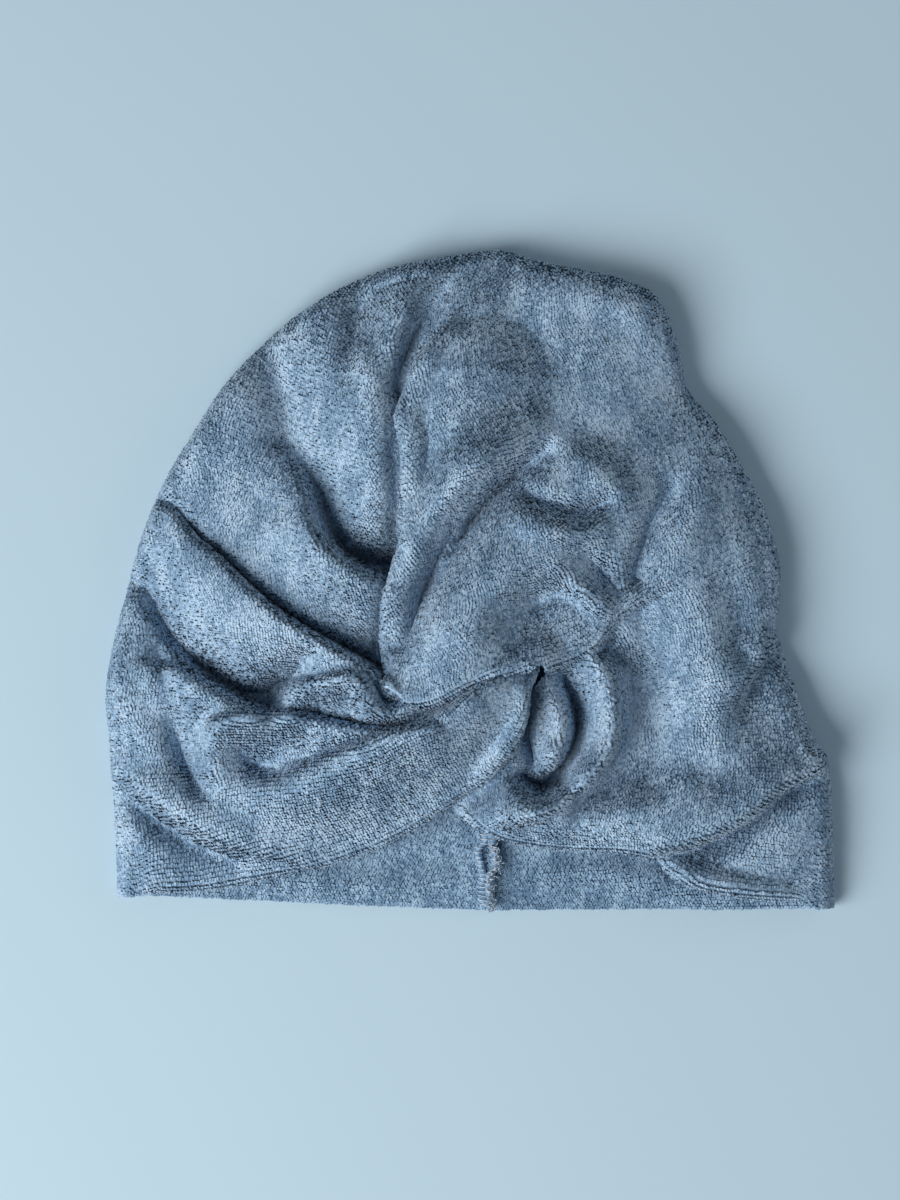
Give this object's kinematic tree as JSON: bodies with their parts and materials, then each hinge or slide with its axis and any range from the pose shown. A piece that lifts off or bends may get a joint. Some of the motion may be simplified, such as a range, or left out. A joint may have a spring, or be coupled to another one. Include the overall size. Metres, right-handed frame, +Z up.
{
  "type": "twist-front turban cap",
  "caption": "Soft terry velour turban cap lying flat, crown away, with a knot in front where one wrap passes over and under the other, and an open brim.",
  "frame": {"origin": "on the surface that the cap lies on, under the middle of its outline", "axes": "+X across the brim, towards the side that lies on the right when the cap is seen from above with its crown away; +Y from the brim to the crown; +Z up out of the surface, on the knot's side"},
  "size_m": [0.2637, 0.2395, 0.0399],
  "materials": {
    "terry_left": "matt melange terry velour, short cut and looped pile",
    "terry_right": "matt melange terry velour, short cut and looped pile",
    "terry_inside": "matt melange terry, the looped back of the same cloth",
    "overlock_thread": "fluffy overlock thread over a raw terry edge"
  },
  "bodies": {
    "root": {"left_wrap": "terry_left", "right_wrap": "terry_right", "left_back": "terry_inside", "right_back": "terry_inside", "back_seam": "overlock_thread"}
  },
  "joints": []
}
